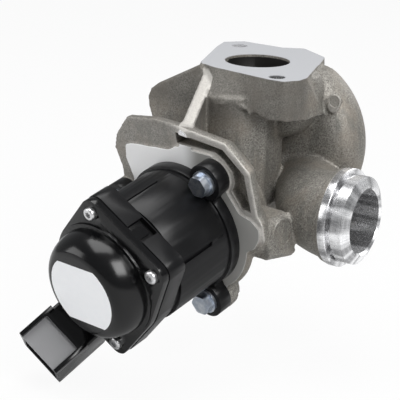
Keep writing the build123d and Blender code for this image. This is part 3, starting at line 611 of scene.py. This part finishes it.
def skin_colour():
    """Rough skin: speckled grey, browner in patches, dark below the parting line and in the inlet."""
    dark, light = (0.085, 0.079, 0.068), (0.36, 0.345, 0.315)
    brown, pit = (0.235, 0.205, 0.170), (0.09, 0.088, 0.080)
    lower, shaded = (0.13, 0.13, 0.118), (0.085, 0.080, 0.072)
    worn_and_highlit, pin_mark, inlet_dark = (0.54, 0.52, 0.49), (0.46, 0.44, 0.41), (0.012, 0.011, 0.010)
    mark_middle, inlet_middle = Vector((0.0467, 0, -0.0156)), Vector((0, 0, -0.009))
    colour = cast.blend(dark, light, grain.step(0.28, 0.74))
    colour = cast.blend(colour, brown, patch.step(0.42, 0.70) * 0.55)
    colour = cast.blend(colour, pit, pits.step(0.62, 0.75) * 0.5)
    below_parting = drawn.step(0.48, 0.68) * height.step(-0.014, -0.020)
    colour = cast.blend(colour, lower, below_parting * 0.5)
    front_face = to_rear.step(-0.015, -0.024) * height.step(-0.030, -0.016)
    colour = cast.blend(colour, shaded, front_face * (0.35 + patch * 0.5))
    # Wear and painted highlight: the plate's rim, on its upper side and most on one side, and the gusset's
    # front edge are coloured lighter.
    rim = motor_level.step(-0.0022, -0.0014) * motor_level.step(-0.0003, -0.0005)
    rim = rim * cast.along(seat, steep).step(-0.004, 0.004) * (0.25 + 0.75 * motor_side.step(-0.004, 0.006))
    rubbed_and_highlit = rim.larger(web_edge_wear_and_highlight())
    colour = cast.blend(colour, worn_and_highlit, rubbed_and_highlit * (0.35 + grain * 0.6))
    mark = cast.away(mark_middle, rear).step(0.0052, 0.0044)
    mark = mark * to_rear.step(-0.0012, -0.0018) * to_rear.step(-0.0070, -0.0060)
    colour = cast.blend(colour, pin_mark, mark * (0.2 + grain))
    # The inlet's bore is coloured nearly black, down to 24 mm below the flange's face.
    slant = math.radians(40)
    inlet_way = Vector((0, -math.sin(slant), -math.cos(slant)))
    gas_way = cast.away(inlet_middle, inlet_way).step(0.0180, 0.0177)
    gas_way = gas_way * height.step(-0.0012, -0.0016) * height.step(-0.024, -0.022)
    return cast.blend(colour, inlet_dark, gas_way)


def bright_colour(flat_face, rings):
    """Machined metal: painted reflections in bands round the outlet, turning marks, and plainer milled
    faces, the land with painted light and shade.
    """
    # Painted reflection: the dark and light bands and the fine streaks round the outlet stand in for the
    # reflections of turned metal; only the rings are its turning marks.
    painted_reflection_dark, painted_reflection_light = (0.30, 0.30, 0.305), (0.92, 0.92, 0.93)
    painted_reflection_streak, tool_mark = (0.50, 0.50, 0.51), (0.66, 0.66, 0.67)
    flange_face, land_painted_lit, land_painted_shade = (0.38, 0.385, 0.40), (0.86, 0.86, 0.86), (0.34, 0.335, 0.32)
    from_middle = cast.node("ShaderNodeVectorMath", {"operation": "SUBTRACT"}, {0: cast.coords(), 1: outlet})
    across, above = (cast.node("ShaderNodeSeparateXYZ", None, {0: from_middle}, out=axis) for axis in (1, 2))
    round_scale, along_scale = 3.2, 24.0
    round_outlet = cast.node("ShaderNodeCombineXYZ", None, {
        0: across / from_outlet * round_scale, 1: above / from_outlet * round_scale,
        2: to_right * along_scale})
    painted_glints = cast.node("ShaderNodeTexNoise", None,
                       {"Vector": round_outlet, "Scale": 1.0, "Detail": 1.0, "Roughness": 0.5})
    painted_reflection_streaks = cast.node("ShaderNodeTexNoise", None, {"Vector": round_outlet, "Scale": 9.0, "Detail": 1.0})
    colour = cast.blend(painted_reflection_dark, painted_reflection_light, painted_glints.step(0.38, 0.58))
    colour = cast.blend(colour, painted_reflection_streak, painted_reflection_streaks.step(0.45, 0.70) * 0.6)
    colour = cast.blend(colour, tool_mark, rings.step(0.45, 0.75) * 0.35)
    # Painted light and shade: the milled land is coloured light on one side of the motor and dark on the
    # other.
    land = cast.blend(land_painted_lit, land_painted_shade, motor_side.step(0.004, 0.016))
    milled = cast.blend(flange_face, land, height.step(-0.0006, -0.0010))
    return cast.blend(colour, milled, flat_face)


machined = machined_share()
land_face = land_level * cast.away(seat, motor_axis).step(0.0520, 0.0515)
flat_face = height.step(-0.0005, -0.0001).larger(land_face)
ring_scale = 900.0
turned = cast.node("ShaderNodeCombineXYZ", None,
                   {0: to_right * ring_scale, 1: from_outlet * ring_scale, 2: patch})
rings = cast.node("ShaderNodeTexNoise", None, {"Vector": turned, "Scale": 1.0, "Detail": 2.0})
ring_relief = rings * machined * (1.0 - flat_face) * 0.03
cast.set(
    base_color=cast.blend(skin_colour(), bright_colour(flat_face, rings), machined),
    metallic=0.55 + machined * 0.25 - flat_face * 0.65,
    roughness=0.50 + grain * 0.16 - machined * 0.32 + flat_face * 0.2,
    normal=cast.bump(grain * (1.0 - machined) + ring_relief, 0.00012, 0.8),
)
coat(casting, cast)
crisp = casting.modifiers.new("crisp", "EDGE_SPLIT")
crisp.split_angle = math.radians(38)
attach(casting, "valve_body")
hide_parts("valve_housing")
dress("valve_housing", cast)

# --- motor housing ----------------------------------------------------------------------------
# Barrel with its flange and lugs, moulded in one piece of glass-filled nylon, satin with a faint
# grain.  Three bolts through the lugs hold it on the casting.
black = Finish("housing_plastic", specular_ior_level=0.22)
fine = black.noise(0.0009, 2.0, 0.6)
broad = black.noise(0.012, 2.0, 0.5)
deep, faded = (0.003, 0.003, 0.0035), (0.006, 0.006, 0.0065)
edge_rounding = 0.0003
black.set(
    base_color=black.blend(deep, faded, broad),
    roughness=0.26 + broad * 0.14,
    normal=black.bump(fine, 0.00002, 0.4),
)
dress("motor_housing", black, edge_rounding)
dress("bearing_bridge", black)

# --- motor cover ------------------------------------------------------------------------------
# Dome, flange and connector in one piece of the same nylon, glossy from a polished mould, held by
# four screws.  The panel on the connector's back is the same black nylon, rougher, coloured grey as a
# painted sheen.
cover = Finish("cover_plastic", specular_ior_level=0.3)
cloud = cover.noise(0.010, 2.0, 0.5)
tiny = cover.noise(0.0008, 2.0, 0.6)
cover_roll, plug_lean = math.radians(36), math.radians(25)
mouth = seat + (level * -22.9 - steep * 31.5 + motor_axis * 93.25) * MM
back_across = level * math.sin(cover_roll) + steep * math.cos(cover_roll)
back_normal = back_across * math.cos(plug_lean) + motor_axis * math.sin(plug_lean)
plug_out = motor_axis * math.cos(plug_lean) - back_across * math.sin(plug_lean)
panel_level = cover.along(mouth, back_normal)
panel = panel_level.step(-0.0028, -0.0026) * panel_level.step(-0.0020, -0.0022)
panel = panel * cover.along(mouth, plug_out).step(-0.0176, -0.0173)
# Painted sheen: the connector's back panel is coloured grey where it catches the light.
deepest, deep, painted_sheen_grey = (0.0015, 0.0015, 0.0018), (0.0035, 0.0035, 0.0038), (0.21, 0.21, 0.215)
cover.set(
    base_color=cover.blend(cover.blend(deepest, deep, cloud), painted_sheen_grey, panel),
    roughness=0.15 + cloud * 0.08 + panel * 0.3,
    normal=cover.bump(tiny, 0.000015, 0.35),
)
dress("motor_cover", cover, edge_rounding)

# --- label ------------------------------------------------------------------------------------
# Plain white film, round with two straight sides, die cut and stuck on the dome's flat end.
# It is left bare here.
film = Finish("white_label", roughness=0.45)
fibre = film.noise(0.004, 3.0, 0.6)
film.set(base_color=film.blend((0.80, 0.81, 0.83), (0.86, 0.865, 0.875), fibre))
dress("cover_label", film)

# --- bolts and screws -------------------------------------------------------------------------
# Three flange-head bolts of zinc plated steel, with their sleeves, hold the motor.  Four pan-head
# screws hold the cover.
zinc = Finish("zinc_plate", metallic=1.0)
bloom = zinc.noise(0.004, 3.0, 0.6)
zinc.set(
    base_color=zinc.blend((0.42, 0.47, 0.55), (0.66, 0.69, 0.73), bloom.step(0.35, 0.7)),
    roughness=0.24 + bloom * 0.16,
    normal=zinc.bump(zinc.noise(0.0006, 2.0), 0.00002, 0.4),
)
dress("motor_bolts", zinc)
dress("compression_sleeves", zinc)
steel = Finish("screw_steel", metallic=1.0)
wear = steel.noise(0.0015, 3.0, 0.6)
steel.set(
    base_color=steel.blend((0.52, 0.52, 0.53), (0.72, 0.72, 0.72), wear),
    roughness=0.25 + wear * 0.15,
)
dress("cover_screws", steel)

# --- inner works ------------------------------------------------------------------------------
# Ground and turned steels, copper windings, magnets, bronze bushes, seals and the circuit board.
# They lie inside the casting, barrel and cover, each in the plain finish of its material.
def plain(name, dark, light, size, metallic, roughness, depth=0.00001):
    """Finish of one inner material: two close colours mixed by a noise, with a fine grain."""
    made = Finish(name, metallic=metallic)
    spread = made.noise(size, 3.0, 0.6)
    made.set(
        base_color=made.blend(dark, light, spread),
        roughness=roughness + spread * 0.12,
        normal=made.bump(spread, depth, 0.4),
    )
    return made


inner = [
    (plain("ground_steel", (0.50, 0.50, 0.51), (0.66, 0.66, 0.66), size=0.002, metallic=1.0, roughness=0.22),
     ("valve_seat", "cross_pin", "fixed_guide", "cam_sleeve", "rotor_hub", "bearing_inner_race",
      "bearing_balls", "bearing_outer_race", "return_spring")),
    (plain("valve_steel", (0.34, 0.32, 0.30), (0.50, 0.48, 0.46), size=0.003, metallic=1.0, roughness=0.35),
     ("poppet_valve",)),
    (plain("laminations", (0.24, 0.24, 0.25), (0.36, 0.36, 0.38), size=0.002, metallic=1.0, roughness=0.4),
     ("stator_core",)),
    (plain("turned_aluminium", (0.66, 0.66, 0.67), (0.78, 0.78, 0.79), size=0.004, metallic=1.0,
           roughness=0.3),
     ("bearing_carrier",)),
    (plain("copper_wire", (0.55, 0.20, 0.07), (0.72, 0.32, 0.14), size=0.0012, metallic=0.9,
           roughness=0.3, depth=0.0001),
     ("stator_coils",)),
    (plain("magnet_coat", (0.10, 0.10, 0.11), (0.18, 0.18, 0.19), size=0.002, metallic=0.4, roughness=0.45),
     ("rotor_magnets", "sensor_magnet")),
    (plain("sintered_bronze", (0.36, 0.22, 0.10), (0.52, 0.34, 0.18), size=0.0008, metallic=0.9,
           roughness=0.45),
     ("stem_bush", "journal_bush")),
    (plain("black_rubber", (0.012, 0.012, 0.012), (0.025, 0.025, 0.025), size=0.001, metallic=0.0,
           roughness=0.6),
     ("stem_seal", "motor_o_ring", "cover_seal")),
    (plain("tinned_contact", (0.60, 0.60, 0.57), (0.75, 0.75, 0.71), size=0.002, metallic=1.0,
           roughness=0.25),
     ("connector_pins",)),
    (plain("board_lacquer", (0.010, 0.07, 0.03), (0.02, 0.11, 0.05), size=0.003, metallic=0.0,
           roughness=0.35),
     ("circuit_board",)),
    (plain("chip_case", (0.015, 0.015, 0.015), (0.03, 0.03, 0.03), size=0.001, metallic=0.0,
           roughness=0.5),
     ("position_sensor",)),
]
for finish, names in inner:
    for node in names:
        dress(node, finish)
